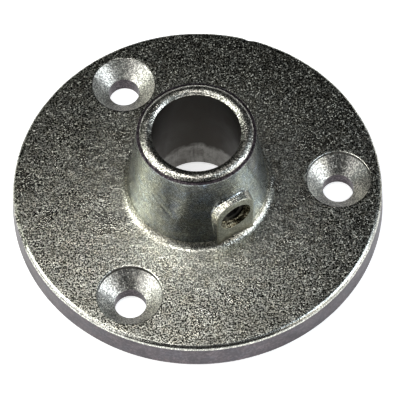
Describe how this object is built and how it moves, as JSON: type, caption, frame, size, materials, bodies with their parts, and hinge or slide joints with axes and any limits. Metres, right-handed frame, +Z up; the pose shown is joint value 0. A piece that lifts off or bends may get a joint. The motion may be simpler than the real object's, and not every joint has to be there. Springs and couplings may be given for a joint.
{
  "type": "tube clamp base flange",
  "caption": "Round base flange with an upright socket for a tube, countersunk fixing holes and a grub screw that grips the tube.",
  "frame": {"origin": "centre of the flange's underside, on the axis of the tube bore", "axes": "+Z up the tube bore, +X through one fixing hole; the screw boss looks 60 degrees clockwise from +X"},
  "size_m": [0.095, 0.095, 0.0333],
  "materials": {
    "galvanised_iron": "satin zinc with a coarse cast grain",
    "screw_steel": "dull zinc-plated steel"
  },
  "bodies": {
    "flange": {"casting": "galvanised_iron"},
    "screw": {"grub_screw": "screw_steel"}
  },
  "joints": [
    {"name": "screw_travel", "type": "slide", "parent": "flange", "child": "screw", "axis": [-0.5, 0.866, 0], "range_m": [-0.00125, 0.0025]}
  ]
}
